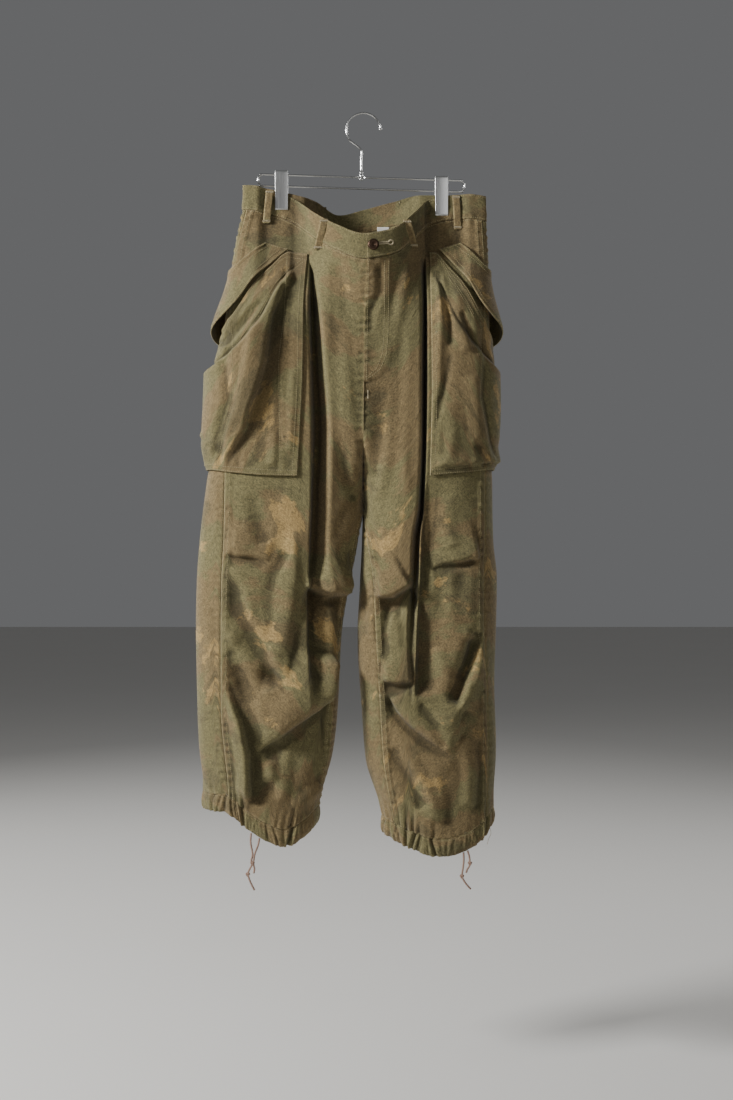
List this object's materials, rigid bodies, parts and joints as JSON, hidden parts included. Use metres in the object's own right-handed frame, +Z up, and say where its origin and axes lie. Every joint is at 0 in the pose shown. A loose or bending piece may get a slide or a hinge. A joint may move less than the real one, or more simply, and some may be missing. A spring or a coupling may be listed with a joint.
{
  "type": "cargo pants on clip hanger",
  "caption": "Wide pleated cargo pants with side pockets and gathered hems, hung by the waistband from a steel clip hanger.",
  "frame": {"origin": "inside top of the hanger's hook, where a rod or peg carries it", "axes": "+Z up, the front of the pants faces -Y, +X to the wearer's left"},
  "size_m": [0.47, 0.1308, 1.195],
  "materials": {
    "cloth": "washed cotton drill in faded blotch camouflage",
    "cord": "matte cotton cord",
    "hanger": "satin",
    "button": "aged copper",
    "label": "plain white tape"
  },
  "bodies": {
    "root": {"front_right": "cloth", "front_left": "cloth", "back_right": "cloth", "back_left": "cloth", "pocket_right": "cloth", "pocket_left": "cloth", "pocket_flap_right": "cloth", "pocket_flap_left": "cloth", "hem_casing_right": "cloth", "hem_casing_left": "cloth", "waistband": "cloth", "belt_loop_1": "cloth", "belt_loop_2": "cloth", "belt_loop_3": "cloth", "belt_loop_4": "cloth", "belt_loop_5": "cloth", "belt_loop_6": "cloth", "belt_loop_7": "cloth", "drawcord_right_1": "cord", "drawcord_right_2": "cord", "drawcord_right_3": "cord", "drawcord_right_4": "cord", "drawcord_right_5": "cord", "drawcord_left_1": "cord", "drawcord_left_2": "cord", "drawcord_left_3": "cord", "drawcord_left_4": "cord", "drawcord_knot_right_1": "cord", "drawcord_knot_right_2": "cord", "drawcord_knot_left_1": "cord", "drawcord_knot_left_2": "cord", "hanger_hook": "hanger", "hanger_ferrule": "hanger", "hanger_wire": "hanger", "clip_right": "hanger", "clip_left": "hanger", "button": "button", "label": "label"}
  },
  "joints": []
}
